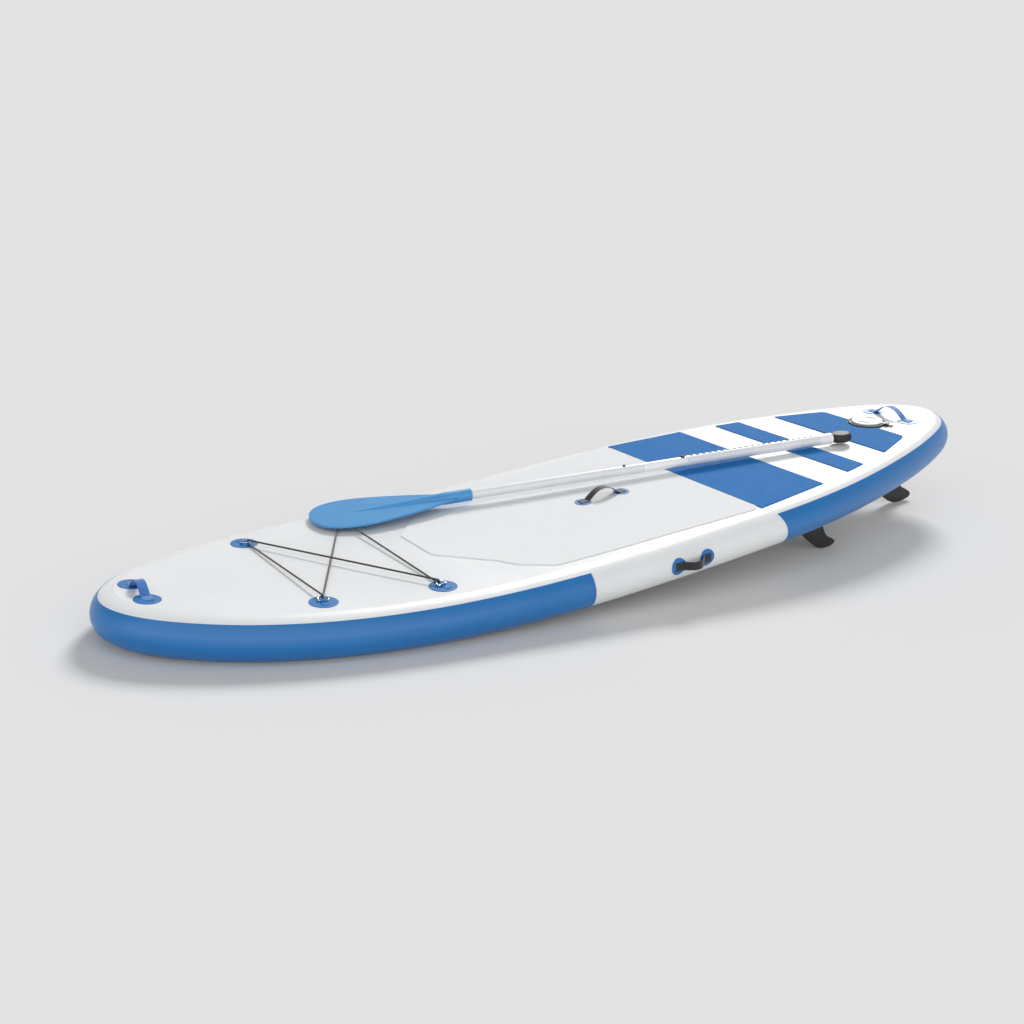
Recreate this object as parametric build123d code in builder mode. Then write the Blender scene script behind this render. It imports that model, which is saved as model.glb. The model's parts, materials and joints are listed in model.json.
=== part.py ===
"""Inflatable stand up paddleboard with its adjustable paddle, in millimetres.

Board frame: +X to the nose, +Y to port, +Z up, deck panel flat at z = 0 aft of the rocker.
Row frame: the board frame tilted nose down until both the fins and the hull touch the floor.
"""
from build123d import *
import math
import os

os.makedirs("parts", exist_ok=True)

# Hull
LENGTH = 3050.0
THICK = 120.0
NOSE_RISE = 115.0
ROCKER_START = 145.0
SKIN = 1.5
RAIL_R = THICK / 2
SEAM_GAP = 0.4
BOND_GAP = 0.1
HALF = LENGTH / 2
PANEL_END = HALF - RAIL_R
ROCKER_K = NOSE_RISE / (HALF - ROCKER_START) ** 2
PANEL_HALF_WIDTH = [
    (-1440, 62), (-1300, 160), (-1000, 265), (-600, 347), (-200, 371), (200, 372),
    (600, 360), (1000, 308), (1200, 244), (1350, 162), (1440, 75),
]

# Coloured rail bands
BAND_THICK = 0.8
BAND_TOP_DEG = 53.0
BAND_LOW_DEG = -62.0
NOSE_BAND_AFT = 328.0
TAIL_BAND_FORE = -352.0
TAIL_BAND_RAKE = 35.0
TAIL_BAND_BULGE = 14.0

# Foam deck pads
PAD_THICK = 3.0
PAD_CORNER_R = 25.0
PAD_FRONT = [(-333, 362), (0, 347), (385, 335), (470, 270), (498, 219), (625, 84)]
STRIPE_FRONT = [(-336, 364), (-624, 331)]
STRIPE_MIDDLE = [(-764, 304), (-853, 285)]
TAIL_PAD = [(-994, 250), (-1156, 186), (-1168, 172)]

# Floor contact: slope of the floor seen from the board, raised nose down
FLOOR_SLOPE = 0.11
TOUCH_X = ROCKER_START + FLOOR_SLOPE / (2 * ROCKER_K)
FLOOR_Z = -THICK + ROCKER_K * (TOUCH_X - ROCKER_START) ** 2 - FLOOR_SLOPE * TOUCH_X
TILT_DEG = math.degrees(math.atan(FLOOR_SLOPE))
STAND = Pos(0, 0, -FLOOR_Z * math.cos(math.radians(TILT_DEG))) * Rot(0, TILT_DEG, 0)

# Valve
VALVE_X = -1190.0
VALVE_RING_R = 64.0
VALVE_DISH_R = 56.0
VALVE_RING_H = 7.0
VALVE_TUBE_R = 30.0
VALVE_BORE_R = 26.5
VALVE_TUBE_DEEP = 27.0
VALVE_WELL_R = 45.0
VALVE_WELL_DEEP = 46.0
WEB_THICK = 4.0
WEB_TOP = -20.0
STEM_R = 3.2
STEM_FIT = 0.08
STEM_HEAD_R = 9.0
STEM_HEAD_TOP = -4.0
STEM_HEAD_H = 3.0
DIAPHRAGM_R = 28.5
DIAPHRAGM_H = 2.0
NUT_R = 42.0
NUT_H = 8.0
GASKET_H = 1.5
SPRING_R = 5.6
SPRING_WIRE_R = 0.6
SPRING_PITCH = 3.2
CAP_R = 53.0
CAP_H = 4.0
CAP_SKIRT_R = 25.5
CAP_SKIRT_H = 3.0
CAP_HINGE_DEG = 112.0
CAP_HINGE_OUT = 71.0
CAP_HINGE_Z = 7.2
HINGE_PIN_R = 2.2
HINGE_FIT = 0.08
HINGE_EYE_R = 4.6
HINGE_EYE_LEN = 12.0
HINGE_EAR_THICK = 4.0

# Handles
STRAP_W = 25.0
STRAP_T = 2.0
PATCH_T = 1.6
PATCH_R = 34.0
SMALL_PATCH_R = 25.0
HANDLE_FOOT = 12.0
NOSE_HANDLE_X = 1404.0
NOSE_SPAN = 112.0
NOSE_RISE_H = 30.0
TAIL_HANDLE_X = -1308.0
TAIL_SPAN = 156.0
TAIL_RISE_H = 36.0
CENTRE_HANDLE_X = -27.0
CENTRE_SPAN = 146.0
CENTRE_RISE = 32.0
SIDE_HANDLE_X = -9.0
SIDE_SPAN = 104.0
SIDE_BULGE = 27.0
RAIL_MID_Y = 373.1

# Bungee
CORD_R = 2.5
RING_WIRE_R = 2.0
RING_HALF_W = 13.0
RING_CORNER_R = 4.0
RING_SIDE = 2.0
RING_LIFT_DEG = 11.0
RING_BAR_Z = 5.6
CORD_WRAP = RING_WIRE_R + CORD_R + 0.3
BUNGEE_PATCH_R = 37.5
RINGS = {
    "front_port": (1028, 240), "front_starboard": (1028, -240),
    "rear_port": (715, 290), "rear_starboard": (715, -290),
}

# Fins
FIN_T = 8.0
CENTRE_FIN_TOUCH = -1375.0
SIDE_FIN_TOUCH = -730.0
SIDE_FIN_Y = 250.0
TRACK_PLATE = (250.0, 84.0, 4.0)
TRACK_BOX = (206.0, 34.0, 14.0)
TAB_W = 20.0
TAB_H = 4.0
TRACK_FIT = 0.3
SIDE_BASE = (150.0, 46.0, 8.0)

# Paddle, along its own +X from the grip end of the handle tube to the blade
PADDLE_START = (-910.0, 90.0, 25.2)
PADDLE_YAW = -13.0
PADDLE_RISE = 0.5
PADDLE_AT = Pos(*PADDLE_START) * Rot(0, 0, PADDLE_YAW) * Rot(0, -PADDLE_RISE, 0)
HANDLE_TUBE_R = 17.0
HANDLE_TUBE_LEN = 535.0
SHAFT_R = 15.0
SHAFT_WALL = 1.5
SLIDE_FIT = 0.1
HOLE_COUNT = 21
HOLE_PITCH = 22.0
HOLE_FIRST = 78.0
MIDDLE_FROM = 15.0
SHAFT_JOINT = 690.0
LOWER_TO = 1330.0
SLEEVE_FROM = 620.0
SLEEVE_LEN = 170.0
COLLAR_LEN = 48.0
COLLAR_R = 18.4
GRIP_LEN = 76.0
GRIP_W = 62.0
GRIP_T = 30.0
PLUG_LEN = 12.0
LENGTH_BUTTON_U = 549.0
LENGTH_BUTTON_R = 6.5
JOINT_BUTTON_U = 754.0
JOINT_BUTTON_R = 4.5
BUTTON_OUT = 4.5
BUTTON_FOOT_Z = 7.5
BUTTON_GAP = 0.4
HOLE_R = LENGTH_BUTTON_R + BUTTON_GAP
SPRING_REACH = 32.0
SPRING_STRIP_T = 0.8
SPRING_STRIP_W = 7.0
NECK_FROM = 1262.0
NECK_R = 18.5
NECK_TO = 1345.0
BLADE_EDGE = [(1300, 17), (1400, 56), (1530, 96), (1650, 110), (1718, 84)]
BLADE_TIP = 1752.0
BLADE_T = 6.0
RIB_TO = 1630.0
RIB_END_R = 3.5


def rocker(x):
    """Height of the deck line above the flat part of the deck."""
    return ROCKER_K * max(0.0, x - ROCKER_START) ** 2


def floor_z(x):
    """Height of the floor, seen in the board frame, below station x."""
    return FLOOR_Z + FLOOR_SLOPE * x


def on_deck(x, y, turn=0.0):
    """Place on the deck at x, y, tilted with the rocker, turned about the deck's normal."""
    slope = math.degrees(math.atan(2 * ROCKER_K * max(0.0, x - ROCKER_START)))
    return Pos(x, y, rocker(x)) * Rot(0, -slope, 0) * Rot(0, 0, turn)


def save(part, name, place=None):
    """Name a piece, stand it in the row frame and write it."""
    moved = STAND * place * part if place else STAND * part
    moved.label = name
    export_step(moved, f"parts/{name}.step")


def seam_line(z, shrink=0.0):
    """Port half of the panel edge, tail tip to nose tip, raised to follow the rocker."""
    end = PANEL_END - shrink
    stations = [(x * end / PANEL_END, y - shrink) for x, y in PANEL_HALF_WIDTH]
    tail = (-end, 0, z)
    nose = (end, 0, z + rocker(end))
    points = [(x, y, z + rocker(x)) for x, y in stations]
    with BuildLine() as line:
        Spline(tail, *points, nose, tangents=((0, 1, 0), (0, -1, 0)), tangent_scalars=(1, 1))
    return line.line


def panel_outline(shrink):
    """Closed plan outline of the flat panel inside the rails."""
    end = PANEL_END - shrink
    stations = [(x * end / PANEL_END, y - shrink) for x, y in PANEL_HALF_WIDTH]
    with BuildSketch() as sketch:
        with BuildLine() as line:
            Spline((-end, 0), *stations, (end, 0), tangents=((0, 1), (0, -1)), tangent_scalars=(1, 1))
            mirror(line.line, about=Plane.XZ)
        make_face()
    return sketch.sketch


def half_outline(points, corner_r=0.0):
    """Closed plan outline mirrored about the centreline, corners rounded."""
    loop = list(points) + [(x, -y) for x, y in reversed(points)]
    with BuildSketch() as sketch:
        with BuildLine():
            Polyline(*loop, close=True)
        make_face()
        if corner_r:
            fillet(sketch.vertices(), radius=corner_r)
    return sketch.sketch


def rocker_band(low, high):
    """Side view of a layer between two heights, bent along the rocker."""
    far = HALF + RAIL_R
    mid = (ROCKER_START + far) / 2
    with BuildSketch(Plane.XZ) as sketch:
        with BuildLine():
            Line((-far, high), (ROCKER_START, high))
            Bezier((ROCKER_START, high), (mid, high), (far, high + rocker(far)))
            Line((far, high + rocker(far)), (far, low + rocker(far)))
            Bezier((far, low + rocker(far)), (mid, low), (ROCKER_START, low))
            Line((ROCKER_START, low), (-far, low))
            Line((-far, low), (-far, high))
        make_face()
    return sketch.sketch


def layer(outline, low, high):
    """Sheet with a plan outline that follows the rocker between two heights."""
    with BuildPart() as sheet:
        with BuildSketch(Plane.XY.offset(-2 * THICK)):
            add(outline)
        extrude(amount=5 * THICK)
        with BuildSketch(Plane.XZ):
            add(rocker_band(low, high))
        extrude(amount=HALF, both=True, mode=Mode.INTERSECT)
    return sheet.part


def bored(part, x, y, radius, low, high):
    """Part with an upright round hole between two heights."""
    with BuildPart() as result:
        add(part)
        with Locations((x, y, (low + high) / 2)):
            Cylinder(radius, high - low, mode=Mode.SUBTRACT)
    return result.part


def rail_shell(inner, outer, low_deg, high_deg):
    """Port half of a round-backed strip swept along the seam line."""
    start = Plane(origin=(-PANEL_END, 0, -RAIL_R), x_dir=(-1, 0, 0), z_dir=(0, 1, 0))
    spine = seam_line(-RAIL_R)
    guide = seam_line(RAIL_R)
    with BuildPart() as strip:
        with BuildSketch(start) as section:
            with BuildLine():
                back = CenterArc((0, 0), outer, low_deg, high_deg - low_deg)
                face = CenterArc((0, 0), inner, low_deg, high_deg - low_deg)
                Line(back @ 0, face @ 0)
                Line(back @ 1, face @ 1)
            make_face()
        sweep(sections=section.sketch.face(), path=spine, binormal=guide.edge())
    return strip.part


def mirrored(part):
    """The same piece on the starboard side."""
    with BuildPart() as other:
        add(mirror(part, about=Plane.XZ, mode=Mode.PRIVATE))
    return other.part


def build_hull():
    """Core, skins, side walls and coloured bands."""
    core = layer(panel_outline(2 * SEAM_GAP), -THICK + SKIN, -SKIN)
    save(bored(core, VALVE_X, 0, VALVE_WELL_R, -VALVE_WELL_DEEP, 0), "drop_stitch_core")
    deck = layer(panel_outline(SEAM_GAP), -SKIN, 0)
    save(bored(deck, VALVE_X, 0, VALVE_TUBE_R + SEAM_GAP, -THICK / 2, THICK / 2), "deck_skin")
    save(layer(panel_outline(SEAM_GAP), -THICK, -THICK + SKIN), "bottom_skin")
    wall = rail_shell(RAIL_R - SKIN, RAIL_R, -90, 90)
    save(wall, "rail_wall_port")
    save(mirrored(wall), "rail_wall_starboard")
    strip = rail_shell(RAIL_R + BOND_GAP, RAIL_R + BOND_GAP + BAND_THICK, BAND_LOW_DEG, BAND_TOP_DEG)
    for name, cutter in (("nose_band", nose_zone()), ("tail_band", tail_zone())):
        with BuildPart() as half:
            add(strip)
            add(cutter, mode=Mode.INTERSECT)
        save(half.part, f"{name}_port")
        save(mirrored(half.part), f"{name}_starboard")


def nose_zone():
    """Block that holds the nose band, cut square at its aft end."""
    with BuildPart() as zone:
        with Locations((NOSE_BAND_AFT, 0, 0)):
            Box(LENGTH, LENGTH, LENGTH, align=(Align.MIN, Align.MIN, Align.CENTER))
    return zone.part


def tail_zone():
    """Block that holds the tail band, with a raked and bowed fore end."""
    low_x = TAIL_BAND_FORE - TAIL_BAND_RAKE
    mid_x = (TAIL_BAND_FORE + low_x) / 2 - TAIL_BAND_BULGE
    with BuildPart() as zone:
        with BuildSketch(Plane.XZ):
            with BuildLine():
                ThreePointArc((TAIL_BAND_FORE, 0), (mid_x, -THICK / 2), (low_x, -THICK))
                Polyline((low_x, -THICK), (-LENGTH, -THICK), (-LENGTH, 0), (TAIL_BAND_FORE, 0))
            make_face()
        extrude(amount=-LENGTH)
    return zone.part


def build_pads():
    """Foam pads bonded on the deck."""
    top = BOND_GAP + PAD_THICK
    pad = half_outline(PAD_FRONT, PAD_CORNER_R)
    save(layer(pad, BOND_GAP, top), "traction_pad")
    save(layer(half_outline(STRIPE_FRONT), BOND_GAP, top), "stripe_front")
    save(layer(half_outline(STRIPE_MIDDLE), BOND_GAP, top), "stripe_middle")
    tail = layer(half_outline(TAIL_PAD), BOND_GAP, top)
    save(bored(tail, VALVE_X, 0, VALVE_RING_R + 2, -THICK, THICK), "tail_pad")


def turned(profile):
    """Ring or disc turned from a half section of (radius, height) points."""
    with BuildPart() as part:
        with BuildSketch(Plane.XZ):
            with BuildLine():
                Polyline(*profile, close=True)
            make_face()
        revolve(axis=Axis.Z)
    return part.part


def build_valve():
    """Screw-in inflation valve with a sprung stem and its clamping nut."""
    at = Pos(VALVE_X, 0, 0)
    with BuildPart() as ring:
        add(turned([
            (VALVE_DISH_R + SEAM_GAP, BOND_GAP), (VALVE_RING_R, BOND_GAP),
            (VALVE_RING_R, VALVE_RING_H), (VALVE_DISH_R + SEAM_GAP, VALVE_RING_H),
        ]))
        fillet(ring.edges().group_by(Axis.Z)[-1], radius=2.5)
    save(ring.part, "valve_ring", at)

    dish_top = 3.0
    with BuildPart() as body:
        add(turned([
            (VALVE_BORE_R, dish_top), (VALVE_DISH_R, dish_top), (VALVE_DISH_R, BOND_GAP),
            (VALVE_TUBE_R, BOND_GAP), (VALVE_TUBE_R, -VALVE_TUBE_DEEP),
            (VALVE_BORE_R, -VALVE_TUBE_DEEP),
        ]))
        with Locations((0, 0, WEB_TOP)):
            with PolarLocations(0, 3):
                Box(VALVE_BORE_R + 1, 6, WEB_THICK, align=(Align.MIN, Align.CENTER, Align.MAX))
            Cylinder(8, WEB_THICK, align=(Align.CENTER, Align.CENTER, Align.MAX))
        Cylinder(STEM_R + STEM_FIT, THICK, mode=Mode.SUBTRACT)
    save(body.part, "valve_body", at)

    under = -SKIN - BOND_GAP
    with BuildPart() as gasket:
        add(turned([
            (VALVE_TUBE_R + BOND_GAP, under), (NUT_R, under),
            (NUT_R, under - GASKET_H), (VALVE_TUBE_R + BOND_GAP, under - GASKET_H),
        ]))
    save(gasket.part, "valve_gasket", at)

    nut_top = under - GASKET_H - BOND_GAP
    with BuildPart() as nut:
        with BuildSketch(Plane.XY.offset(nut_top - NUT_H)):
            RegularPolygon(NUT_R, 12)
            Circle(VALVE_TUBE_R + BOND_GAP, mode=Mode.SUBTRACT)
        extrude(amount=NUT_H)
    save(nut.part, "valve_nut", at)

    disc_top = -VALVE_TUBE_DEEP - 2 * BOND_GAP
    with BuildPart() as stem:
        add(turned([
            (0, STEM_HEAD_TOP), (STEM_HEAD_R, STEM_HEAD_TOP),
            (STEM_HEAD_R, STEM_HEAD_TOP - STEM_HEAD_H), (STEM_R, STEM_HEAD_TOP - STEM_HEAD_H),
            (STEM_R, disc_top), (DIAPHRAGM_R, disc_top), (DIAPHRAGM_R, disc_top - DIAPHRAGM_H),
            (0, disc_top - DIAPHRAGM_H),
        ]))
    save(stem.part, "valve_stem", at)

    coil_low = WEB_TOP + SPRING_WIRE_R + BOND_GAP
    coil_high = STEM_HEAD_TOP - STEM_HEAD_H - SPRING_WIRE_R - BOND_GAP
    with BuildPart() as spring:
        with BuildLine(Plane.XY.offset(coil_low)):
            coil = Helix(SPRING_PITCH, coil_high - coil_low, SPRING_R)
        with BuildSketch(Plane(origin=coil @ 0, z_dir=coil % 0)):
            Circle(SPRING_WIRE_R)
        sweep(path=coil, is_frenet=True)
    save(spring.part, "valve_spring", at)


def build_valve_cap():
    """Cap that swings on a rubber strap beside the valve."""
    at = Pos(VALVE_X, 0, 0) * Rot(0, 0, CAP_HINGE_DEG)
    low = VALVE_RING_H + SEAM_GAP
    with BuildPart() as cap:
        add(turned([
            (0, low), (CAP_SKIRT_R - 2, low), (CAP_SKIRT_R - 2, low - CAP_SKIRT_H),
            (CAP_SKIRT_R, low - CAP_SKIRT_H), (CAP_SKIRT_R, low), (CAP_R, low),
            (CAP_R, low + CAP_H), (0, low + CAP_H),
        ]))
        fillet(cap.edges().group_by(Axis.Z)[-1], radius=1.5)
        with BuildSketch(Plane.XY.offset(low + CAP_H)):
            with PolarLocations(CAP_R * 0.55, 2, start_angle=90):
                SlotOverall(CAP_R * 0.7, 12, rotation=90)
        extrude(amount=-CAP_H / 2, mode=Mode.SUBTRACT)
        with Locations((CAP_R - 3, 0, low)):
            Box(CAP_HINGE_OUT - CAP_R + 3, HINGE_EYE_LEN, 3, align=(Align.MIN, Align.CENTER, Align.MIN))
        with Locations(Pos(CAP_HINGE_OUT, 0, CAP_HINGE_Z) * Rot(90, 0, 0)):
            Cylinder(HINGE_EYE_R, HINGE_EYE_LEN)
            Cylinder(HINGE_PIN_R + HINGE_FIT, 2 * HINGE_EYE_LEN, mode=Mode.SUBTRACT)
    save(cap.part, "valve_cap", at)

    ear_y = HINGE_EYE_LEN / 2 + SEAM_GAP + HINGE_EAR_THICK / 2
    with BuildPart() as strap:
        with Locations((CAP_HINGE_OUT - 5, 0, BOND_GAP)):
            Box(26, 2 * ear_y + HINGE_EAR_THICK, 1.6, align=(Align.MIN, Align.CENTER, Align.MIN))
        with Locations((CAP_HINGE_OUT, ear_y, BOND_GAP), (CAP_HINGE_OUT, -ear_y, BOND_GAP)):
            Box(8, HINGE_EAR_THICK, CAP_HINGE_Z + 3, align=(Align.CENTER, Align.CENTER, Align.MIN))
        with Locations(Pos(CAP_HINGE_OUT, 0, CAP_HINGE_Z) * Rot(90, 0, 0)):
            Cylinder(HINGE_PIN_R, 2 * ear_y)
    save(strap.part, "valve_cap_strap", at)


def patch(radius):
    """Round reinforcing patch."""
    with BuildPart() as disc:
        with Locations((0, 0, BOND_GAP)):
            Cylinder(radius, PATCH_T, align=(Align.CENTER, Align.CENTER, Align.MIN))
        fillet(disc.edges().group_by(Axis.Z)[-1], radius=PATCH_T / 2)
    return disc.part


def arched_strap(span, rise):
    """Webbing strap along X, flat on its two patches and arched between them."""
    base = BOND_GAP + PATCH_T + BOND_GAP + STRAP_T / 2
    foot = span / 2 - HANDLE_FOOT
    knee = foot - rise
    side = [
        (-span / 2 - HANDLE_FOOT, base), (-foot, base), (-knee, rise),
        (knee, rise), (foot, base), (span / 2 + HANDLE_FOOT, base),
    ]
    with BuildPart() as strap:
        with BuildSketch(Plane.XZ):
            with BuildLine():
                FilletPolyline(*side, radius=rise * 0.55)
            trace(line_width=STRAP_T)
        extrude(amount=STRAP_W / 2, both=True)
    return strap.part


def build_handle(name, place, span, rise, patch_r):
    """Strap and its two patches, the strap running along the place's X."""
    save(arched_strap(span, rise), f"{name}_strap", place)
    for end, side in (("port", 1), ("starboard", -1)):
        save(patch(patch_r), f"{name}_patch_{end}", place * Pos(side * span / 2, 0, 0))


def rail_patch(x, radius):
    """Round patch wrapped on the port rail."""
    centre_y = RAIL_MID_Y
    inner = RAIL_R + BOND_GAP + SEAM_GAP
    with BuildPart() as disc:
        with Locations(Pos(x, centre_y, -RAIL_R) * Rot(0, 90, 0)):
            Cylinder(inner + PATCH_T, 2 * radius)
            Cylinder(inner, 2 * radius, mode=Mode.SUBTRACT)
        with Locations(Pos(x, centre_y, -RAIL_R) * Rot(-90, 0, 0)):
            Cylinder(
                radius, 2 * RAIL_R, mode=Mode.INTERSECT,
                align=(Align.CENTER, Align.CENTER, Align.MIN),
            )
    return disc.part


def build_handles():
    """Carry handles on the nose, tail, centre and both rails."""
    build_handle("nose_handle", on_deck(NOSE_HANDLE_X, 0, 90), NOSE_SPAN, NOSE_RISE_H, PATCH_R)
    build_handle("tail_handle", on_deck(TAIL_HANDLE_X, 0, 90), TAIL_SPAN, TAIL_RISE_H, PATCH_R)
    centre = Pos(CENTRE_HANDLE_X, 0, BOND_GAP + PAD_THICK)
    save(arched_strap(CENTRE_SPAN, CENTRE_RISE), "centre_handle_strap", centre)
    discs = [centre * Pos(side * CENTRE_SPAN / 2, 0, 0) * patch(SMALL_PATCH_R) for side in (1, -1)]
    save(Compound(children=discs), "centre_handle_patches")
    outward = RAIL_MID_Y + RAIL_R + SEAM_GAP
    place = Pos(SIDE_HANDLE_X, outward, -RAIL_R) * Rot(-90, 0, 0)
    strap = place * arched_strap(SIDE_SPAN, SIDE_BULGE)
    with BuildPart() as port_strap:
        add(strap)
    save(port_strap.part, "side_strap_port")
    save(mirrored(port_strap.part), "side_strap_starboard")
    discs = [rail_patch(SIDE_HANDLE_X + side * SIDE_SPAN / 2, SMALL_PATCH_R) for side in (1, -1)]
    save(Compound(children=discs), "side_patches_port")
    save(Compound(children=[mirrored(disc) for disc in discs]), "side_patches_starboard")


def ring_turn(x, y):
    """Plan angle of a ring's inboard direction, toward the middle of its two cord runs."""
    ends = [Vector(px, py) for px, py in RINGS.values()]
    across = Vector(x, -y)
    diagonal = next(e for e in ends if abs(e.X - x) > 1 and e.Y * y < 0)
    here = Vector(x, y)
    inboard = (across - here).normalized() + (diagonal - here).normalized()
    return math.degrees(math.atan2(inboard.Y, inboard.X)) - 90


def ring_place(x, y):
    """Place of a ring: bar along local X at the origin, bow along local Y."""
    return on_deck(x, y, ring_turn(x, y)) * Pos(0, 0, RING_BAR_Z) * Rot(RING_LIFT_DEG, 0, 0)


def ring_bow():
    """Distance from the bar's centreline to the bow's, along the ring."""
    return RING_CORNER_R + RING_SIDE + RING_HALF_W


def d_ring():
    """Round-wire D with its bar along X."""
    flat = RING_HALF_W - RING_CORNER_R
    turn = RING_CORNER_R
    with BuildPart() as ring:
        with BuildLine() as wire:
            bar = Line((0, 0), (flat, 0))
            JernArc(bar @ 1, bar % 1, turn, 90)
            Line((RING_HALF_W, turn), (RING_HALF_W, turn + RING_SIDE))
            CenterArc((0, turn + RING_SIDE), RING_HALF_W, 0, 180)
            Line((-RING_HALF_W, turn + RING_SIDE), (-RING_HALF_W, turn))
            JernArc((-RING_HALF_W, turn), (0, -1), turn, 90)
            Line((-flat, 0), (0, 0))
        with BuildSketch(Plane.YZ):
            Circle(RING_WIRE_R)
        sweep(path=wire.line)
    return ring.part


def ring_patch(turn):
    """Round patch with the webbing loop, welded on it, that holds a ring's bar."""
    over = RING_WIRE_R + SEAM_GAP
    skin = 1.2
    with BuildPart() as anchor:
        add(patch(BUNGEE_PATCH_R))
        with BuildSketch(Plane.YZ.rotated((0, 0, turn))):
            with Locations((0, RING_BAR_Z)):
                Circle(over + skin)
            with Locations((0, PATCH_T / 2)):
                Rectangle(2 * (over + skin), RING_BAR_Z - PATCH_T / 2, align=(Align.CENTER, Align.MIN))
            with Locations((0, PATCH_T / 2)):
                Rectangle(24, 2 * skin, align=(Align.MAX, Align.MIN))
            with Locations((0, RING_BAR_Z)):
                Circle(over, mode=Mode.SUBTRACT)
        extrude(amount=RING_HALF_W - RING_CORNER_R - 1, both=True)
    return anchor.part


def cord_hook(name, first_high):
    """Two corner points that lead the cord round a ring's bow, in the board frame."""
    x, y = RINGS[name]
    bow = ring_place(x, y) * Pos(0, ring_bow(), 0)
    apex = bow.position
    place = on_deck(x, y, ring_turn(x, y))
    outward = (place * Pos(0, -CORD_WRAP, 0)).position - place.position
    up = (place * Pos(0, 0, CORD_WRAP)).position - place.position
    high = apex + outward + up
    low = apex + outward - up
    return (high, low) if first_high else (low, high)


def cord_route():
    """Corner points of the bungee from its crimp round all four rings and back."""
    hooks = [
        cord_hook("rear_starboard", True), cord_hook("rear_port", False),
        cord_hook("front_starboard", True), cord_hook("front_port", True),
    ]
    start_pair, *rest = hooks
    across_from, across_to = start_pair[0], rest[0][0]
    crimp = across_from + (across_to - across_from) * 0.12
    along = (across_to - across_from).normalized()
    route = [crimp + along]
    for hook in rest:
        route += list(hook)
    route += [start_pair[1], start_pair[0], crimp - along]
    return route, crimp, along


def build_bungee():
    """Deck bungee: patches, webbing tabs, D-rings and one crimped cord."""
    for name, (x, y) in RINGS.items():
        save(ring_patch(ring_turn(x, y)), f"bungee_patch_{name}", on_deck(x, y))
        save(d_ring(), f"d_ring_{name}", ring_place(x, y))
    route, crimp, along = cord_route()
    with BuildPart() as cord:
        with BuildLine() as line:
            FilletPolyline(*route, radius=CORD_WRAP * 0.95)
        with BuildSketch(Plane(origin=route[0], z_dir=along)):
            Circle(CORD_R)
        sweep(path=line.line)
    save(cord.part, "bungee_cord")
    with BuildPart() as sleeve:
        with BuildSketch(Plane(origin=crimp - along * 12, z_dir=along)):
            Circle(CORD_R + 1.2)
            Circle(CORD_R + BOND_GAP, mode=Mode.SUBTRACT)
        extrude(amount=24)
    save(sleeve.part, "bungee_crimp")


def fin_outline(touch_x, root_z):
    """Side view of a raked fin whose lowest point just meets the floor."""
    low = floor_z(touch_x)
    tall = root_z - low
    touch = (touch_x, low)
    lead = [(touch_x + tall * a, low + tall * b) for a, b in ((1.1, 1.0), (0.66, 0.44), (0.3, 0.13))]
    tip = (touch_x - 0.36 * tall, low + 0.08 * tall)
    trail = [(touch_x + tall * a, low + tall * b) for a, b in ((-0.16, 0.24), (0.06, 0.56), (0.2, 1.0))]
    with BuildLine() as edge:
        front = Spline(*lead, touch, tangents=((-0.5, -1), (-1, -FLOOR_SLOPE)))
        round_tip = Spline(touch, tip, trail[0], tangents=((-1, -FLOOR_SLOPE), (1, 0.55)))
        Spline(*trail, tangents=((1, 0.55), (0.1, 1)))
        Line(trail[-1], lead[0])
    return edge.line


def fin_blade(touch_x, root_z):
    """Fin plate about the plane y = 0, with eased edges below the root."""
    with BuildPart() as blade:
        with BuildSketch(Plane.XZ):
            add(fin_outline(touch_x, root_z))
            make_face()
        extrude(amount=FIN_T / 2, both=True)
        rims = blade.faces().filter_by(Axis.Y).edges().filter_by(lambda e: e.center().Z < root_z - 1)
        chamfer(rims, length=FIN_T * 0.3)
    return blade.part


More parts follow.
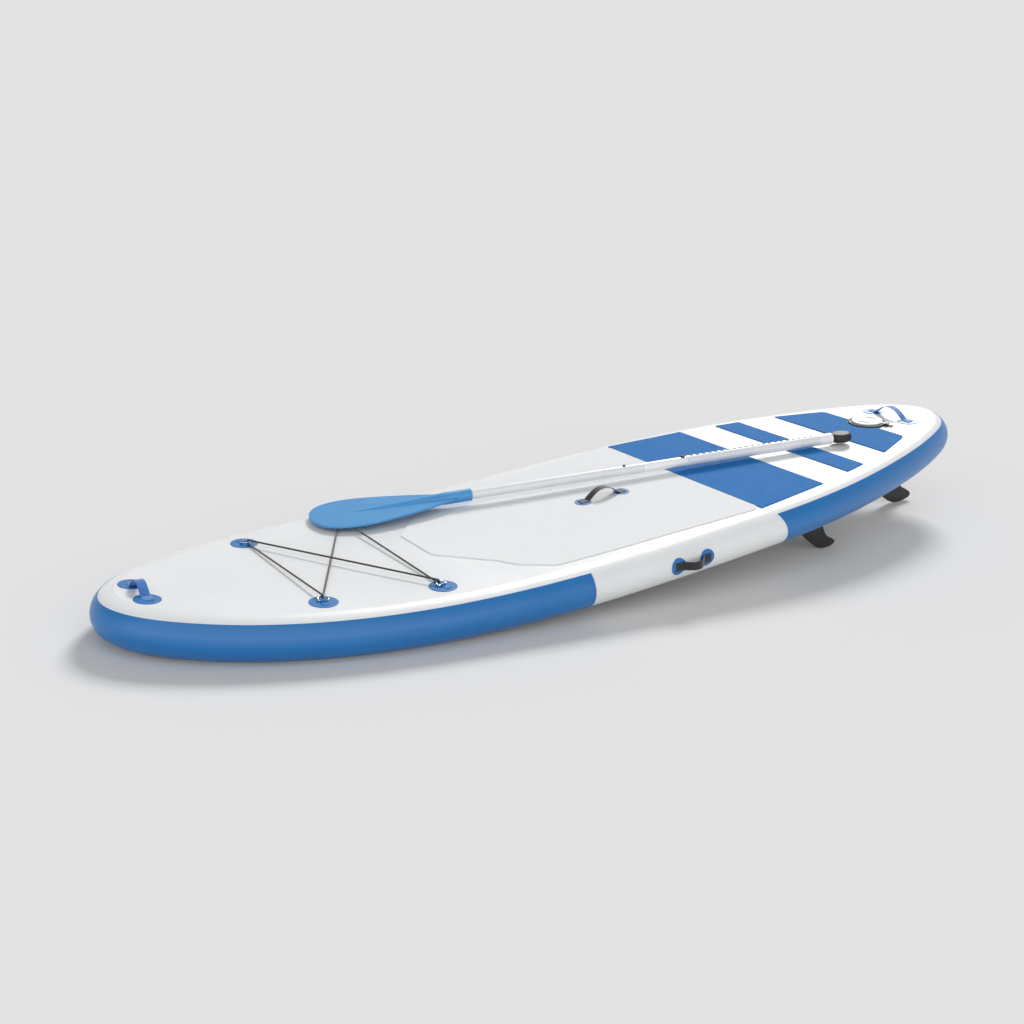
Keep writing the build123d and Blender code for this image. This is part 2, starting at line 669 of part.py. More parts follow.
def build_fins():
    """Slide-in centre fin with its track, and two fixed side fins on bonded bases."""
    under = -THICK - BOND_GAP
    box_low = under - TRACK_PLATE[2] - TRACK_BOX[2]
    tab_top = under - TRACK_PLATE[2] - 2.0
    root = box_low - TRACK_FIT
    tall = root - floor_z(CENTRE_FIN_TOUCH)
    fore = CENTRE_FIN_TOUCH + 1.1 * tall
    aft = CENTRE_FIN_TOUCH + 0.2 * tall
    middle = (fore + aft) / 2
    length = fore - aft
    top_fit = TAB_H + 2 * TRACK_FIT
    with BuildPart() as track:
        with Locations((middle, 0, under)):
            Box(*TRACK_PLATE, align=(Align.CENTER, Align.CENTER, Align.MAX))
        fillet(track.edges().filter_by(Axis.Z), radius=20)
        with Locations((middle, 0, under - TRACK_PLATE[2])):
            Box(*TRACK_BOX, align=(Align.CENTER, Align.CENTER, Align.MAX))
        with Locations((fore + TRACK_FIT, 0, tab_top + TRACK_FIT)):
            Box(LENGTH, TAB_W + 2 * TRACK_FIT, top_fit, align=(Align.MAX, Align.CENTER, Align.MAX),
                mode=Mode.SUBTRACT)
            Box(LENGTH, FIN_T + 2 * TRACK_FIT, THICK, align=(Align.MAX, Align.CENTER, Align.MAX),
                mode=Mode.SUBTRACT)
    save(track.part, "centre_fin_track")
    with BuildPart() as fin:
        add(fin_blade(CENTRE_FIN_TOUCH, root))
        with Locations((middle, 0, tab_top)):
            Box(length, TAB_W, TAB_H, align=(Align.CENTER, Align.CENTER, Align.MAX))
            Box(length, FIN_T, tab_top - root + 1, align=(Align.CENTER, Align.CENTER, Align.MAX))
    save(fin.part, "centre_fin")

    side_root = under - SIDE_BASE[2]
    side_tall = side_root - BOND_GAP - floor_z(SIDE_FIN_TOUCH)
    side_middle = SIDE_FIN_TOUCH + 0.65 * side_tall
    with BuildPart() as base:
        with Locations((side_middle, SIDE_FIN_Y, under)):
            Box(*SIDE_BASE, align=(Align.CENTER, Align.CENTER, Align.MAX))
        fillet(base.edges().filter_by(Axis.Z), radius=15)
        fillet(base.edges().group_by(Axis.Z)[0], radius=4)
    side = Pos(0, SIDE_FIN_Y, 0) * fin_blade(SIDE_FIN_TOUCH, side_root - BOND_GAP)
    for name, part in (("side_fin_base", base.part), ("side_fin", side)):
        save(part, f"{name}_port")
        save(mirrored(part), f"{name}_starboard")


def tube(outer, inner, start, length):
    """Round tube along X."""
    with BuildPart() as part:
        with BuildSketch(Plane.YZ.offset(start)):
            Circle(outer)
            Circle(inner, mode=Mode.SUBTRACT)
        extrude(amount=length)
    return part.part


def with_holes(part, stations, radius):
    """Part with holes drilled down from the top at stations along X."""
    with BuildPart() as drilled:
        add(part)
        with Locations(*[(u, 0, 0) for u in stations]):
            Cylinder(
                radius, THICK, align=(Align.CENTER, Align.CENTER, Align.MIN), mode=Mode.SUBTRACT,
            )
    return drilled.part


def button(station, radius, outer_r):
    """Domed push button that stands out of a tube."""
    with BuildPart() as knob:
        with Locations((station, 0, BUTTON_FOOT_Z)):
            Cylinder(
                radius, outer_r + BUTTON_OUT - BUTTON_FOOT_Z,
                align=(Align.CENTER, Align.CENTER, Align.MIN),
            )
        fillet(knob.edges().group_by(Axis.Z)[-1], radius=radius * 0.5)
    return knob.part


def button_spring(station, inner_r):
    """Bent strip inside a tube, from the button's foot to the far wall."""
    half_w = SPRING_STRIP_W / 2
    high = BUTTON_FOOT_Z - BOND_GAP - SPRING_STRIP_T / 2
    low = -math.sqrt(inner_r ** 2 - half_w ** 2) + SPRING_STRIP_T
    near = station - half_w
    with BuildPart() as strip:
        with BuildSketch(Plane.XZ):
            with BuildLine():
                FilletPolyline(
                    (near, high), (station + half_w, high), (station + SPRING_REACH, 0),
                    (station + half_w, low), (near, low), radius=2.5,
                )
            trace(line_width=SPRING_STRIP_T)
        extrude(amount=half_w, both=True)
    return strip.part


def build_blade():
    """Blade with its socket neck and central rib."""
    edge = BLADE_EDGE + [(BLADE_TIP, 0)]
    with BuildPart() as blade:
        with BuildSketch(Plane.XY.offset(-BLADE_T / 2)):
            with BuildLine() as line:
                Spline(*edge, tangents=((1, 0.35), (0, -1)))
                mirror(line.line, about=Plane.XZ)
                Line((edge[0][0], -edge[0][1]), edge[0])
            make_face()
        extrude(amount=BLADE_T)
        chamfer(blade.edges().filter_by(lambda e: abs(e.center().Z) > 1 and e.length > 100), length=2)
        with BuildSketch(Plane.XZ):
            with BuildLine():
                Polyline(
                    (NECK_FROM, 0), (NECK_FROM, NECK_R), (NECK_TO, NECK_R),
                    (RIB_TO, RIB_END_R), (RIB_TO + RIB_END_R, 0), close=True,
                )
            make_face()
        revolve(axis=Axis.X)
        with BuildSketch(Plane.YZ.offset(NECK_FROM)):
            Circle(SHAFT_R + SLIDE_FIT)
        extrude(amount=LOWER_TO + 1 - NECK_FROM, mode=Mode.SUBTRACT)
    return blade.part


def build_grip():
    """Palm grip with the plug that closes the handle tube."""
    with BuildPart() as grip:
        with BuildSketch(Plane.XY.offset(-GRIP_T / 2)):
            with Locations((-GRIP_LEN / 2 - 2, 0)):
                Ellipse(GRIP_LEN / 2, GRIP_W / 2)
        extrude(amount=GRIP_T)
        fillet(grip.edges(), radius=GRIP_T * 0.42)
        with BuildSketch(Plane.YZ.offset(-GRIP_LEN / 4)):
            Circle(SHAFT_R)
        extrude(amount=GRIP_LEN / 4 + PLUG_LEN)
    return grip.part


def build_paddle():
    """Three-piece paddle with a telescoping handle."""
    bore = SHAFT_R - SHAFT_WALL
    save(build_blade(), "paddle_blade", PADDLE_AT)
    lower = tube(SHAFT_R, bore, SHAFT_JOINT, LOWER_TO - SHAFT_JOINT)
    joint_hole = JOINT_BUTTON_R + BUTTON_GAP
    save(with_holes(lower, [JOINT_BUTTON_U], joint_hole), "lower_shaft", PADDLE_AT)
    sleeve_r = bore - SLIDE_FIT
    sleeve = tube(sleeve_r, sleeve_r - SHAFT_WALL, SLEEVE_FROM, SLEEVE_LEN)
    save(with_holes(sleeve, [JOINT_BUTTON_U], joint_hole), "joint_sleeve", PADDLE_AT)
    middle = tube(SHAFT_R, bore, MIDDLE_FROM, SHAFT_JOINT - SEAM_GAP - MIDDLE_FROM)
    length_hole = LENGTH_BUTTON_R + BUTTON_GAP
    save(with_holes(middle, [LENGTH_BUTTON_U], length_hole), "middle_shaft", PADDLE_AT)
    handle = tube(HANDLE_TUBE_R, SHAFT_R + SLIDE_FIT, 0, HANDLE_TUBE_LEN)
    stations = [HOLE_FIRST + HOLE_PITCH * i for i in range(HOLE_COUNT)]
    save(with_holes(handle, stations, HOLE_R), "handle_tube", PADDLE_AT)
    with BuildPart() as collar:
        with BuildSketch(Plane.XZ):
            with BuildLine():
                Polyline(
                    (-2, HANDLE_TUBE_R + BOND_GAP), (-2, COLLAR_R),
                    (COLLAR_LEN / 3, COLLAR_R), (COLLAR_LEN, HANDLE_TUBE_R + 0.6),
                    (COLLAR_LEN, HANDLE_TUBE_R + BOND_GAP), close=True,
                )
            make_face()
        revolve(axis=Axis.X)
    save(collar.part, "handle_collar", PADDLE_AT)
    save(build_grip(), "palm_grip", PADDLE_AT)
    save(button(LENGTH_BUTTON_U, LENGTH_BUTTON_R, SHAFT_R), "length_button", PADDLE_AT)
    save(button_spring(LENGTH_BUTTON_U, bore), "length_button_spring", PADDLE_AT)
    save(button(JOINT_BUTTON_U, JOINT_BUTTON_R, SHAFT_R), "joint_button", PADDLE_AT)
    save(button_spring(JOINT_BUTTON_U, sleeve_r - SHAFT_WALL), "joint_button_spring", PADDLE_AT)


build_hull()
build_pads()
build_valve()
build_valve_cap()
build_handles()
build_bungee()
build_fins()
build_paddle()
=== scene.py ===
import json
import math

import bmesh
import bpy
import numpy as np
from mathutils import Matrix, Vector


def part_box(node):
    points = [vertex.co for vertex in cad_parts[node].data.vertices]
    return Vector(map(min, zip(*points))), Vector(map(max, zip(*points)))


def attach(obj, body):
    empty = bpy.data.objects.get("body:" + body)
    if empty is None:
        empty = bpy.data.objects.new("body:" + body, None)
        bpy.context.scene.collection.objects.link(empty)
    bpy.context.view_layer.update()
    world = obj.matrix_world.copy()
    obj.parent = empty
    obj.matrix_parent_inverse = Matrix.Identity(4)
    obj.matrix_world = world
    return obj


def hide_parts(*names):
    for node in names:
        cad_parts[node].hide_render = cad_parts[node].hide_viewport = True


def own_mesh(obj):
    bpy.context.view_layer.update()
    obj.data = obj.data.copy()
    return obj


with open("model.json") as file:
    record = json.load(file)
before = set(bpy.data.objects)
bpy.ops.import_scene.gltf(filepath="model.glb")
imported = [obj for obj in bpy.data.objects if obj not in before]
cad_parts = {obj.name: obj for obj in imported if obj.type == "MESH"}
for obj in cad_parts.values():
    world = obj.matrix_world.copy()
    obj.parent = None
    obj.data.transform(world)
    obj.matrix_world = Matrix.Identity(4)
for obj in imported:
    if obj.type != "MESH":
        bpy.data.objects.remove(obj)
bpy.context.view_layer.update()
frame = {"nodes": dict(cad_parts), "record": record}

nodes = frame["nodes"]
record = frame["record"]

# ---------------------------------------------------------------- camera

CAMERA_AT = Vector((2.436, 2.992, 1.360))
CAMERA_HEADING = math.radians(-125.471)
CAMERA_DIP = math.radians(17.717)
CAMERA_ROLL = math.radians(3.560)
LENS_MM = 46.96


def place_camera():
    """Camera at a standing person's height off the port bow, rolled a little about its view."""
    flat = math.cos(CAMERA_DIP)
    ahead = Vector((
        math.cos(CAMERA_HEADING) * flat,
        math.sin(CAMERA_HEADING) * flat,
        -math.sin(CAMERA_DIP),
    ))
    right = ahead.cross(Vector((0, 0, 1))).normalized()
    up = right.cross(ahead)
    rolled_right = math.cos(CAMERA_ROLL) * right + math.sin(CAMERA_ROLL) * up
    rolled_up = math.cos(CAMERA_ROLL) * up - math.sin(CAMERA_ROLL) * right
    data = bpy.data.cameras.new("studio_camera")
    data.sensor_width = 36.0
    data.lens = LENS_MM
    camera = bpy.data.objects.new("studio_camera", data)
    turn = Matrix((rolled_right, rolled_up, -ahead)).transposed().to_4x4()
    camera.matrix_world = Matrix.Translation(CAMERA_AT) @ turn
    bpy.context.scene.collection.objects.link(camera)
    bpy.context.scene.camera = camera


place_camera()

# ---------------------------------------------------------------- node helpers


def linear(code):
    """Linear RGBA of an sRGB hex colour, by the sRGB curve."""
    raw = [int(code[i:i + 2], 16) / 255 for i in (1, 3, 5)]
    return [c / 12.92 if c <= 0.04045 else ((c + 0.055) / 1.055) ** 2.4 for c in raw] + [1.0]


def add(tree, kind, settings=None, links=None):
    """One node with its settings, by socket or attribute, and its incoming links."""
    made = tree.nodes.new(kind)
    for name, value in (settings or {}).items():
        if isinstance(name, int) or name in made.inputs:
            made.inputs[name].default_value = value
        else:
            setattr(made, name, value)
    for socket, source in (links or {}).items():
        tree.links.new(source, made.inputs[socket])
    return made


def start(name, shader):
    """A material with one Principled shader, its uniform values set on the shader's own sockets."""
    material = bpy.data.materials.new(name)
    material.use_nodes = True
    tree = material.node_tree
    tree.nodes.clear()
    body = add(tree, "ShaderNodeBsdfPrincipled", shader)
    add(tree, "ShaderNodeOutputMaterial", links={"Surface": body.outputs[0]})
    place = add(tree, "ShaderNodeTexCoord").outputs["Object"]
    return material, tree, body, place


def two_tone(tree, body, factor, dark, light):
    """Base colour between two hex colours by a pattern."""
    ramp = add(tree, "ShaderNodeValToRGB", links={"Fac": factor})
    ramp.color_ramp.elements[0].color = linear(dark)
    ramp.color_ramp.elements[1].color = linear(light)
    tree.links.new(ramp.outputs["Color"], body.inputs["Base Color"])


def relief(tree, body, height, depth, strength=1.0):
    """Bump of a depth in metres."""
    bump = add(tree, "ShaderNodeBump", {"Strength": strength, "Distance": depth}, {"Height": height})
    tree.links.new(bump.outputs["Normal"], body.inputs["Normal"])


def uneven(tree, body, place, per_metre, low, high):
    """Roughness that wanders between two values, as handling leaves it."""
    cloud = add(tree, "ShaderNodeTexNoise", {"Scale": per_metre, "Detail": 4.0}, {"Vector": place})
    spread = add(tree, "ShaderNodeMapRange", {"To Min": low, "To Max": high}, {"Value": cloud.outputs["Fac"]})
    tree.links.new(spread.outputs["Result"], body.inputs["Roughness"])
    return cloud.outputs["Fac"]


def grooves(tree, place, pitch_mm, turn_deg):
    """Parallel grooves of a pitch, turned in plan."""
    turned = add(tree, "ShaderNodeMapping", {"Rotation": (0, 0, math.radians(turn_deg))}, {"Vector": place})
    scale = 2 * math.pi / (20 * pitch_mm / 1000)
    wave = add(tree, "ShaderNodeTexWave", {"Scale": scale}, {"Vector": turned.outputs["Vector"]})
    return wave.outputs["Fac"]


# ---------------------------------------------------------------- materials


def coated_pvc(name, dark, light):
    """Calendered PVC on polyester cloth: satin, with the cloth's grid just felt and slow waviness."""
    material, tree, body, place = start(name, {"IOR": 1.53, "Coat Weight": 0.12, "Coat Roughness": 0.3})
    cloud = uneven(tree, body, place, 6.0, 0.30, 0.42)
    two_tone(tree, body, cloud, dark, light)
    cloth = add(tree, "ShaderNodeTexVoronoi", {"Scale": 160.0}, {"Vector": place})
    relief(tree, body, cloth.outputs["Distance"], 0.0004, 0.25)
    return material


def brushed_eva(name, dark, light, pitch_mm, depth):
    """EVA foam sheet with cut diagonal grooves: matt, soft, and with painted shade that darkens each groove.
    """
    material, tree, body, place = start(name, {"Specular IOR Level": 0.25, "Sheen Weight": 0.02})
    uneven(tree, body, place, 30.0, 0.72, 0.86)
    cut = grooves(tree, place, pitch_mm, 45)
    # base colour follows the grooves: the darker colour is painted shade in each groove
    two_tone(tree, body, cut, dark, light)
    relief(tree, body, cut, depth, 0.6)
    return material


def woven_webbing(name, dark, light):
    """Polyester webbing: ribs across the strap at 2.4 mm, with painted shade darkening the hollows between
    ribs, and a woven sheen.
    """
    material, tree, body, place = start(name, {"Sheen Weight": 0.35, "Sheen Roughness": 0.4})
    uneven(tree, body, place, 80.0, 0.5, 0.68)
    ribs = grooves(tree, place, 2.4, 90)
    # base colour follows the ribs: the darker colour is painted shade in the hollows between ribs
    two_tone(tree, body, ribs, dark, light)
    relief(tree, body, ribs, 0.0006, 0.8)
    return material


def braided_cord(name):
    """Elastic cord in a braided nylon sleeve: black with crossing threads, with painted shade darkening the
    hollows between them.
    """
    material, tree, body, place = start(name, {"Sheen Weight": 0.3})
    uneven(tree, body, place, 120.0, 0.5, 0.7)
    first = grooves(tree, place, 1.8, 40)
    second = grooves(tree, place, 1.8, -40)
    braid = add(tree, "ShaderNodeMath", {"operation": "MULTIPLY"}, {0: first, 1: second}).outputs[0]
    # base colour follows the braid: the darker colour is painted shade between the threads
    two_tone(tree, body, braid, "#0b0b0d", "#2c2d31")
    relief(tree, body, braid, 0.0006, 0.8)
    return material


def moulded(name, dark, light, rough):
    """Injection moulded plastic or rubber: fine spark-eroded grain, faint scuffs."""
    material, tree, body, place = start(name, {"IOR": 1.5})
    cloud = uneven(tree, body, place, 14.0, rough - 0.06, rough + 0.08)
    two_tone(tree, body, cloud, dark, light)
    grain = add(tree, "ShaderNodeTexNoise", {"Scale": 900.0, "Detail": 2.0}, {"Vector": place})
    relief(tree, body, grain.outputs["Fac"], 0.0003, 0.2)
    return material


def metal(name, dark, light, rough, metallic, coat=0.0):
    """Drawn metal, bare or under paint: faint streaks of the draw and uneven gloss."""
    material, tree, body, place = start(name, {"Metallic": metallic, "Coat Weight": coat})
    cloud = uneven(tree, body, place, 25.0, rough - 0.05, rough + 0.08)
    two_tone(tree, body, cloud, dark, light)
    streak = add(tree, "ShaderNodeMapping", {"Scale": (4.0, 300.0, 300.0)}, {"Vector": place})
    drawn = add(tree, "ShaderNodeTexNoise", {"Scale": 1.0, "Detail": 2.0}, {"Vector": streak.outputs[0]})
    relief(tree, body, drawn.outputs["Fac"], 0.0002, 0.1)
    return material


FINISH = {
    # the darker colour of each webbing pair is painted shade in the rib hollows
    "drop_stitch": woven_webbing("polyester_drop_stitch", "#d8d8d4", "#ececea"),
    "white_pvc": coated_pvc("white_coated_pvc", "#d9dbdc", "#e3e4e5"),
    "blue_pvc": coated_pvc("blue_coated_pvc", "#0b66a9", "#1470b3"),
    # the darker colour of each EVA pair is painted shade in the grooves
    "white_eva": brushed_eva("white_eva_foam", "#d8dadb", "#dfe0e1", 6.0, 0.0002),
    "blue_eva": brushed_eva("blue_eva_foam", "#005c9f", "#0072ba", 6.0, 0.0007),
    "black_cord": braided_cord("nylon_bungee"),
    "black_plastic": moulded("black_glass_filled_nylon", "#141517", "#222326", 0.5),
    "grey_plastic": moulded("pale_grey_abs", "#b4b6b6", "#c9caca", 0.42),
    "black_rubber": moulded("black_epdm_rubber", "#17181a", "#232427", 0.68),
    "steel": metal("stainless_steel", "#b9bcc0", "#d3d5d8", 0.2, 1.0),
    "blue_plastic": moulded("blue_polypropylene", "#3a88c2", "#4493cc", 0.36),
    "white_aluminium": metal("white_powder_coated_aluminium", "#d3d5d7", "#dfe1e2", 0.35, 0.0, 0.3),
    "bare_aluminium": metal("anodised_aluminium", "#b6b9bc", "#cdd0d2", 0.32, 1.0),
    "white_plastic": moulded("white_acetal", "#dddfe0", "#ececed", 0.38),
    # the darker colour of each webbing pair is painted shade in the rib hollows
    "blue_webbing": woven_webbing("blue_polyester_webbing", "#12468a", "#2a70bc"),
    "black_webbing": woven_webbing("black_polyester_webbing", "#0e0f11", "#26282c"),
}


def dress_nodes():
    """Every CAD node takes the finish of its material slot."""
    for entry in record["subparts"]:
        mesh = nodes[entry["node"]].data
        mesh.materials.clear()
        mesh.materials.append(FINISH[entry["material_slot"]])


dress_nodes()

# ---------------------------------------------------------------- computed surfaces


def extents(node, axes):
    """Low and high corner of a CAD node on the given axes."""
    spots = np.empty(len(nodes[node].data.vertices) * 3)
    nodes[node].data.vertices.foreach_get("co", spots)
    spread = spots.reshape(-1, 3) @ axes.T
    return spread.min(axis=0), spread.max(axis=0)


def face_out(mesh):
    """Turns every face of a closed shell outwards."""
    shell = bmesh.new()
    shell.from_mesh(mesh)
    bmesh.ops.recalc_face_normals(shell, faces=shell.faces)
    shell.to_mesh(mesh)
    shell.free()


def skin(name, grid):
    """Mesh of a grid of points, row after row of a closed section, with a cap at each end."""
    rows, sides = grid.shape[:2]
    index = np.arange(rows * sides).reshape(rows, sides)
    following = np.roll(index, -1, axis=1)
    quads = np.stack([index[:-1], index[1:], following[1:], following[:-1]], -1).reshape(-1, 4)
    caps = [index[0].tolist(), index[-1][::-1].tolist()]
    mesh = bpy.data.meshes.new(name)
    mesh.from_pydata(grid.reshape(-1, 3).tolist(), [], quads.tolist() + caps)
    return mesh


def stand_in(name, mesh, node, body):
    """The computed surface takes the place of a CAD node and rides on its body."""
    piece = bpy.data.objects.new(name, mesh)
    bpy.context.scene.collection.objects.link(piece)
    face_out(mesh)
    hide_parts(node)
    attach(piece, body)
    return piece


# ---------------------------------------------------------------- webbing handles

WEBBING_WIDE = 0.025
WEBBING_THICK = 0.0022
SEWN_FLAT = 0.026
ARCH_POWER = 1.15
ROWS_ALONG_STRAP = 121
POINTS_ROUND_STRAP = 24
SQUARE_WIDE = 0.35
SQUARE_THICK = 0.6
RIB_PITCH = 0.0024
DECK_NORMAL = -Vector(record["mounts"][0]["axis"]).normalized()
DECK_AHEAD = Vector((0, 1, 0)).cross(DECK_NORMAL)
ABEAM = Vector((0, 1, 0))


def webbing(name, node, along, out, finish):
    """A strap sewn flat at both feet and arched between them.

    Height over the feet is rise times (1 - (distance / foot)^2)^1.15, which leaves each foot at no
    slope. A flat oval section, a cosine raised to a small power wide and a sine thick, is carried along
    that line, square to it, and closed by a cap at each end.
    """
    along, out = np.array(along), np.array(out)
    across = np.cross(out, along)
    axes = np.stack([along, across, out])
    low, high = extents(node, axes)
    reach = (high[0] - low[0]) / 2
    rise = high[2] - low[2] - WEBBING_THICK
    foot = reach - SEWN_FLAT
    run = np.linspace(-reach, reach, ROWS_ALONG_STRAP)
    inside = np.clip(1 - (run / foot) ** 2, 0, None)
    height = rise * inside ** ARCH_POWER
    slope = np.gradient(height, run)
    size = np.sqrt(1 + slope ** 2)
    seat = np.array([(low[0] + high[0]) / 2, (low[1] + high[1]) / 2, low[2] + WEBBING_THICK / 2])
    base = seat @ axes
    line = base + run[:, None] * along + height[:, None] * out
    normal = (out - slope[:, None] * along) / size[:, None]
    turn = np.linspace(0, 2 * np.pi, POINTS_ROUND_STRAP, endpoint=False)
    wide = np.sign(np.cos(turn)) * np.abs(np.cos(turn)) ** SQUARE_WIDE * WEBBING_WIDE / 2
    thick = np.sign(np.sin(turn)) * np.abs(np.sin(turn)) ** SQUARE_THICK * WEBBING_THICK / 2
    grid = line[:, None] + wide[None, :, None] * across + thick[None, :, None] * normal[:, None]
    mesh = skin(name, grid)
    layer = mesh.uv_layers.new(name="webbing")
    spot = np.stack([np.repeat(run, len(wide)), np.tile(wide, len(run))], -1)
    corner = np.empty(len(mesh.loops), dtype=np.int32)
    mesh.loops.foreach_get("vertex_index", corner)
    layer.data.foreach_set("uv", spot[corner].ravel())
    mesh.polygons.foreach_set("use_smooth", np.ones(len(mesh.polygons), dtype=bool))
    mesh.materials.append(finish)
    stand_in(name, mesh, node, "board")


def sewn_webbing(name, dark, light):
    """Polyester webbing 25 mm wide: ribs across it with painted shade darkening the hollows between them, a
    selvedge each side, and a silky sheen.
    """
    material, tree, body, place = start(name, {"Sheen Weight": 0.4, "Sheen Roughness": 0.35})
    uneven(tree, body, place, 60.0, 0.42, 0.6)
    flat = add(tree, "ShaderNodeTexCoord").outputs["UV"]
    # real ribs are 1.2 mm apart, drawn at 2.4 mm so that they show
    ribs = add(tree, "ShaderNodeTexWave", {"Scale": 2 * math.pi / (20 * RIB_PITCH)}, {"Vector": flat})
    # base colour follows the ribs: the darker colour is painted shade in the hollows between ribs
    two_tone(tree, body, ribs.outputs["Fac"], dark, light)
    relief(tree, body, ribs.outputs["Fac"], 0.0006, 0.7)
    return material


def handles():
    """All five carry handles."""
    # the darker colour of each pair is painted shade in the rib hollows
    blue = sewn_webbing("blue_sewn_webbing", "#154c92", "#3580cc")
    black = sewn_webbing("black_sewn_webbing", "#0c0d0f", "#25272b")
    webbing("nose_webbing", "nose_handle_strap", ABEAM, (0, 0, 1), blue)
    webbing("tail_webbing", "tail_handle_strap", ABEAM, DECK_NORMAL, blue)
    webbing("centre_webbing", "centre_handle_strap", DECK_AHEAD, DECK_NORMAL, black)
    webbing("port_webbing", "side_strap_port", DECK_AHEAD, ABEAM, black)
    webbing("starboard_webbing", "side_strap_starboard", DECK_AHEAD, -ABEAM, black)


handles()

# ---------------------------------------------------------------- inner shaft


MOUTH_CLEAR = 0.003


def inner_shaft():
    """Drawn tube painted white past the handle's mouth, and near black inside the handle as painted shade for
    the dark hollow seen through the handle's holes.
    """
    material, tree, body, place = start("inner_shaft_paint_and_painted_shade", {"Coat Weight": 0.2})
    uneven(tree, body, place, 25.0, 0.3, 0.42)
    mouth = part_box("handle_tube")[1][0] - MOUTH_CLEAR
    along = add(tree, "ShaderNodeSeparateXYZ", links={"Vector": place}).outputs["X"]
    past = add(tree, "ShaderNodeMath", {"operation": "GREATER_THAN", 1: mouth}, {0: along}).outputs[0]
    # near black inside the handle is painted shade for the hollow seen through its holes; white past the
    # mouth is the shaft's paint
    two_tone(tree, body, past, "#1d1f22", "#e6e8e9")
    mesh = nodes["middle_shaft"].data
    mesh.materials.clear()
    mesh.materials.append(material)


inner_shaft()

# ---------------------------------------------------------------- springs

PRESSES = {joint["name"]: joint for joint in record["behaviour"]["joints"]}
COIL_WIRE = 0.0006
COIL_PITCH = 0.0032
STRIP_WIDE = 0.007
STRIP_THICK = 0.0008
STRIP_REACH = 0.032
FOOT_ABOVE_AXIS = 0.0074
STEPS_ALONG_COIL = 260
POINTS_ROUND_WIRE = 10
CORNER_CUTS = 4


def spring_axes(press):
    """The way a press joint comes back, a line square to it along the shaft, and the third axis."""
    out = -np.array(PRESSES[press]["axis"])
    out = out / np.linalg.norm(out)
    along = -np.array(PRESSES["handle_extend"]["axis"])
    along = along - (along @ out) * out
    along = along / np.linalg.norm(along)
    return np.stack([along, np.cross(out, along), out])


def sprung(name, node, body, axes, line, section):
    """A section carried along a line on the given axes."""
    ahead = np.gradient(line, axis=0)
    ahead = ahead / np.linalg.norm(ahead, axis=1)[:, None]
    side, lift = section(ahead)
    grid = line[:, None] + side + lift
    mesh = skin(name, grid @ axes)
    mesh.materials.append(FINISH["steel"])
    piece = stand_in(name, mesh, node, body)
    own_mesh(piece)


def coil_spring():
    """Valve spring: a round wire on a helix.

    The helix is a circle in plan, and its height grows evenly with turn.
    """
    axes = spring_axes("valve_stem_push")
    low, high = extents("valve_spring", axes)
    middle = (low + high) / 2
    radius = (high[0] - low[0]) / 2 - COIL_WIRE
    tall = high[2] - low[2] - 2 * COIL_WIRE
    turn = np.linspace(0, 2 * np.pi * tall / COIL_PITCH, STEPS_ALONG_COIL)
    line = np.stack([
        middle[0] + radius * np.cos(turn),
        middle[1] + radius * np.sin(turn),
        low[2] + COIL_WIRE + COIL_PITCH * turn / (2 * np.pi),
    ], -1)
    around = np.linspace(0, 2 * np.pi, POINTS_ROUND_WIRE, endpoint=False)

    def section(ahead):
        radial = np.stack([np.cos(turn), np.sin(turn), np.zeros_like(turn)], -1)
        third = np.cross(ahead, radial)
        ring = COIL_WIRE * np.cos(around)[None, :, None] * radial[:, None]
        return ring, COIL_WIRE * np.sin(around)[None, :, None] * third[:, None]

    sprung("valve_coil", "valve_spring", "board", axes, line, section)


def strip_spring(name, node, press):
    """Button spring: a flat strip bent back on itself.

    Its line starts as four straight runs. Each pass keeps the points a quarter and three quarters along
    every run, which rounds the corners.
    """
    axes = spring_axes(press)
    low, high = extents(node, axes)
    near, centre = low[0], (low[1] + high[1]) / 2
    top, bottom = high[2] - STRIP_THICK / 2, low[2] + STRIP_THICK / 2
    peak = near + STRIP_WIDE / 2 + STRIP_REACH
    path = np.array([
        (near, top), (near + STRIP_WIDE, top), (peak, high[2] - FOOT_ABOVE_AXIS),
        (near + STRIP_WIDE, bottom), (near, bottom),
    ])
    for _ in range(CORNER_CUTS):
        first = 0.75 * path[:-1] + 0.25 * path[1:]
        second = 0.25 * path[:-1] + 0.75 * path[1:]
        cut = np.stack([first, second], 1)
        path = np.vstack([path[:1], cut.reshape(-1, 2), path[-1:]])
    line = np.stack([path[:, 0], np.full(len(path), centre), path[:, 1]], -1)
    across = np.array((-1.0, 1.0, 1.0, -1.0)) * STRIP_WIDE / 2
    thick = np.array((-1.0, -1.0, 1.0, 1.0)) * STRIP_THICK / 2

    def section(ahead):
        flat = np.array((0.0, 1.0, 0.0))
        normal = np.cross(ahead, flat)
        return across[None, :, None] * flat, thick[None, :, None] * normal[:, None]

    sprung(name, node, "paddle", axes, line, section)


coil_spring()
strip_spring("length_strip", "length_button_spring", "length_button_press")
strip_spring("joint_strip", "joint_button_spring", "joint_button_press")

# ---------------------------------------------------------------- studio


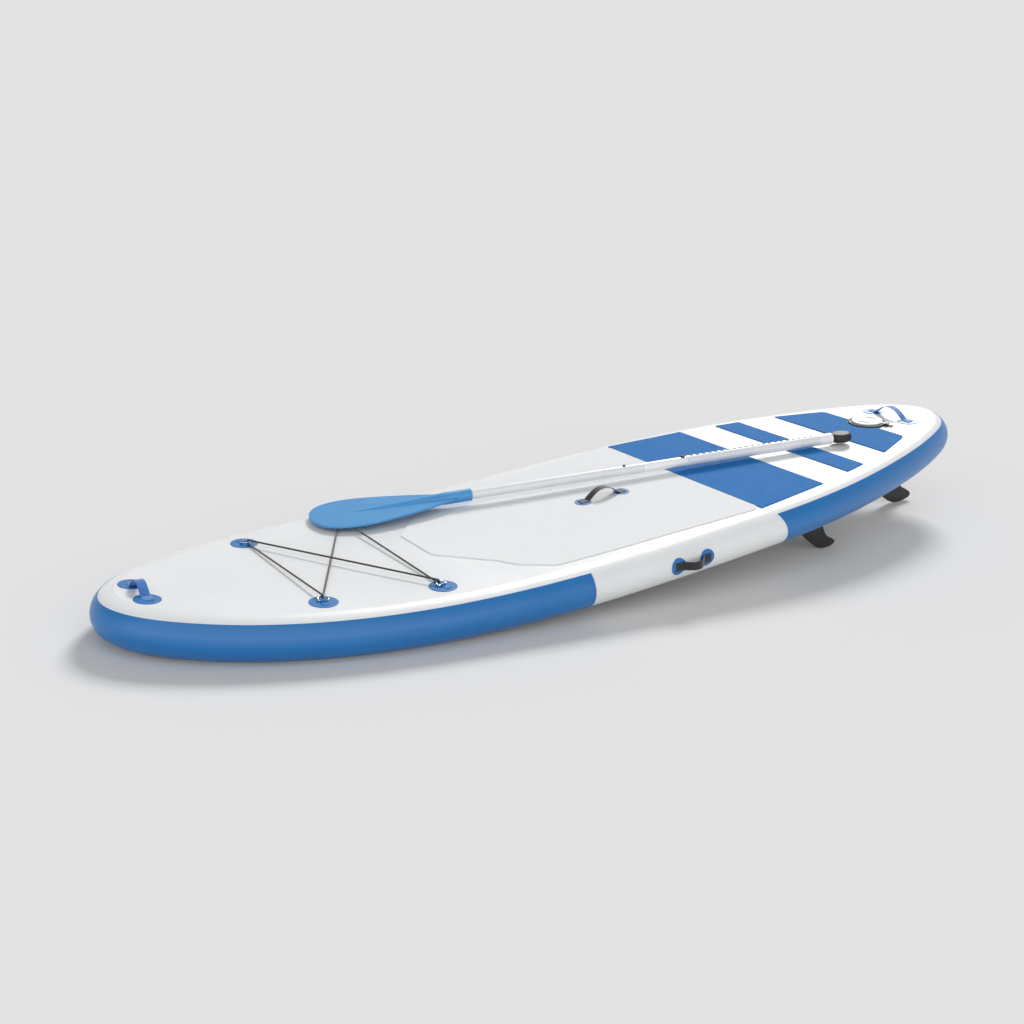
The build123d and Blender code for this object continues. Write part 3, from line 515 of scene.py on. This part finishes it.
FLOOR_HALF = 400.0


def floor():
    """Plain pale floor, well past the view."""
    half = FLOOR_HALF
    corners = [(-half, -half, 0), (half, -half, 0), (half, half, 0), (-half, half, 0)]
    mesh = bpy.data.meshes.new("studio_floor")
    mesh.from_pydata(corners, [], [(0, 1, 2, 3)])
    material, tree, body, place = start("matt_backdrop_paint", {"Roughness": 1.0, "Specular IOR Level": 0.0})
    cloud = add(tree, "ShaderNodeTexNoise", {"Scale": 0.3}, {"Vector": place})
    two_tone(tree, body, cloud.outputs["Fac"], "#d8d8d8", "#d9d9d9")
    mesh.materials.append(material)
    ground = bpy.data.objects.new("studio_floor", mesh)
    bpy.context.scene.collection.objects.link(ground)


def soft_sun(name, energy, spread_deg, way):
    """A far source of a given spread, shining the given way."""
    data = bpy.data.lights.new(name, "SUN")
    data.energy = energy
    data.angle = math.radians(spread_deg)
    light = bpy.data.objects.new(name, data)
    light.rotation_euler = Vector(way).to_track_quat("-Z", "Y").to_euler()
    bpy.context.scene.collection.objects.link(light)


def room():
    """White studio dome: its foot is as bright as the lit floor, so that the two meet unseen."""
    world = bpy.data.worlds.new("studio_room")
    world.use_nodes = True
    tree = world.node_tree
    way = add(tree, "ShaderNodeTexCoord").outputs["Generated"]
    up = add(tree, "ShaderNodeSeparateXYZ", links={"Vector": way}).outputs["Z"]
    ramp = add(tree, "ShaderNodeValToRGB", links={"Fac": up})
    ramp.color_ramp.elements[0].color = (0.766, 0.768, 0.770, 1)
    ramp.color_ramp.elements[0].position = 0.12
    ramp.color_ramp.elements[1].position = 0.5
    ramp.color_ramp.elements[1].color = (0.3, 0.303, 0.309, 1)
    tree.links.new(ramp.outputs["Color"], tree.nodes["Background"].inputs["Color"])
    bpy.context.scene.world = world


floor()
# key from behind the starboard quarter, then a wide low fill from in front, which lifts the near rail
soft_sun("key", 2.4, 18, (0.74, 0.62, -0.80))
soft_sun("fill", 2.2, 120, (-0.55, -0.8, -0.25))
room()
bpy.context.scene.view_settings.view_transform = "Standard"
